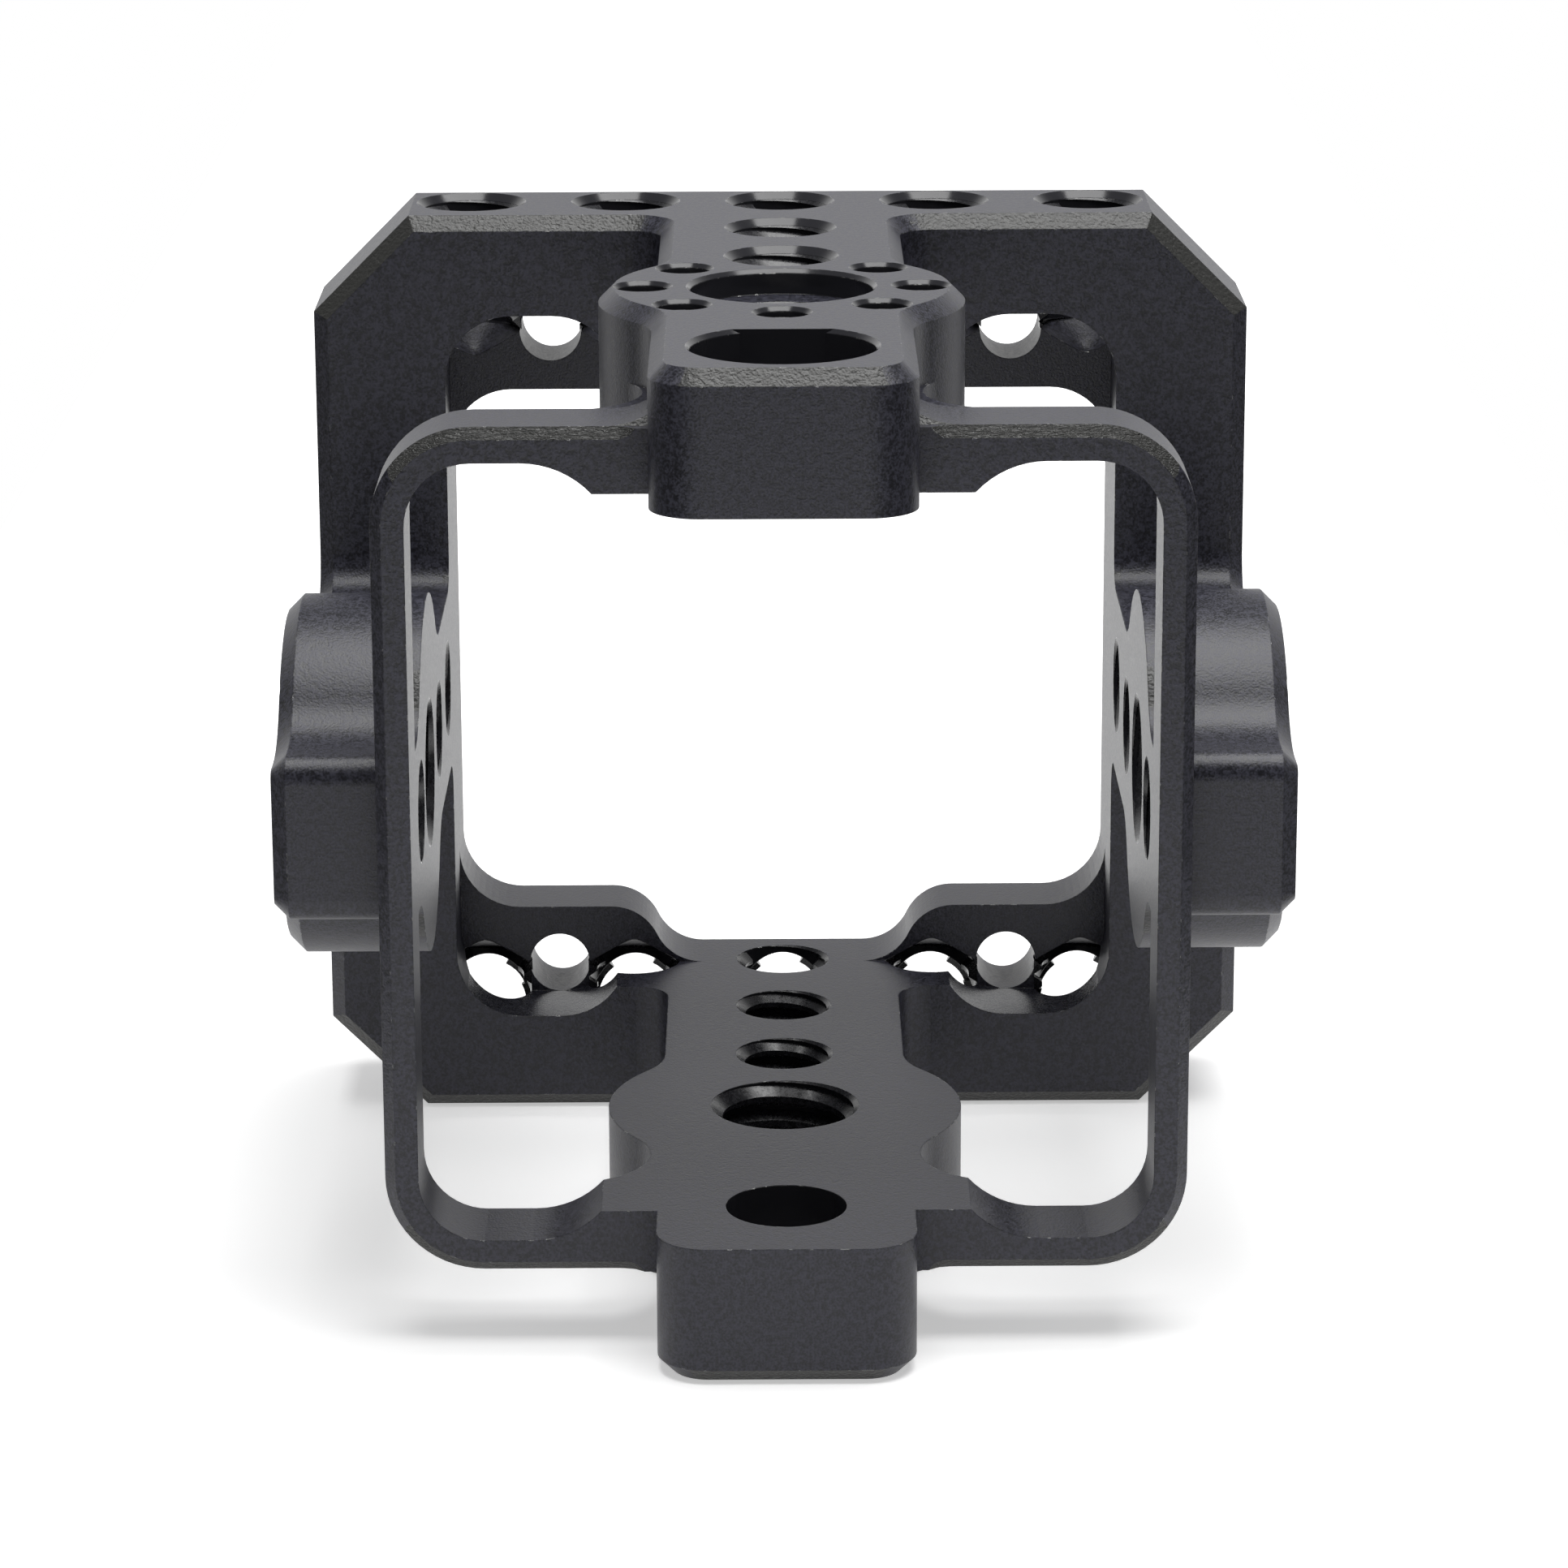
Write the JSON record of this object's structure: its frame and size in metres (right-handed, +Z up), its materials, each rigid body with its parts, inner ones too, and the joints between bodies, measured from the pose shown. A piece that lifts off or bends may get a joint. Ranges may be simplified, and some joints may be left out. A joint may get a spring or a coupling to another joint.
{
  "type": "camera cage",
  "caption": "Open box cage for a small cube camera: a slotted front frame and an eight-sided rear frame joined by four drilled rails.",
  "frame": {"origin": "middle of the outline, on the underside", "axes": "+Y towards the back of the camera, +Z up, +X to the right seen from the front"},
  "size_m": [0.06, 0.06, 0.06],
  "materials": {
    "aluminium": "black anodised, bead blasted",
    "dark_steel": "black oxide",
    "bright_steel": "ground"
  },
  "bodies": {
    "root": {"rear_frame": "aluminium", "front_frame": "aluminium", "top_rail": "aluminium", "bottom_rail": "aluminium", "left_rail": "aluminium", "right_rail": "aluminium", "top_left_screw": "dark_steel", "top_right_screw": "dark_steel", "bottom_left_screw": "dark_steel", "bottom_right_screw": "dark_steel", "left_upper_screw": "dark_steel", "left_lower_screw": "dark_steel", "right_upper_screw": "dark_steel", "right_lower_screw": "dark_steel", "top_left_dowel": "bright_steel", "top_right_dowel": "bright_steel", "bottom_left_dowel": "bright_steel", "bottom_right_dowel": "bright_steel", "left_upper_dowel": "bright_steel", "left_lower_dowel": "bright_steel", "right_upper_dowel": "bright_steel", "right_lower_dowel": "bright_steel"}
  },
  "joints": []
}
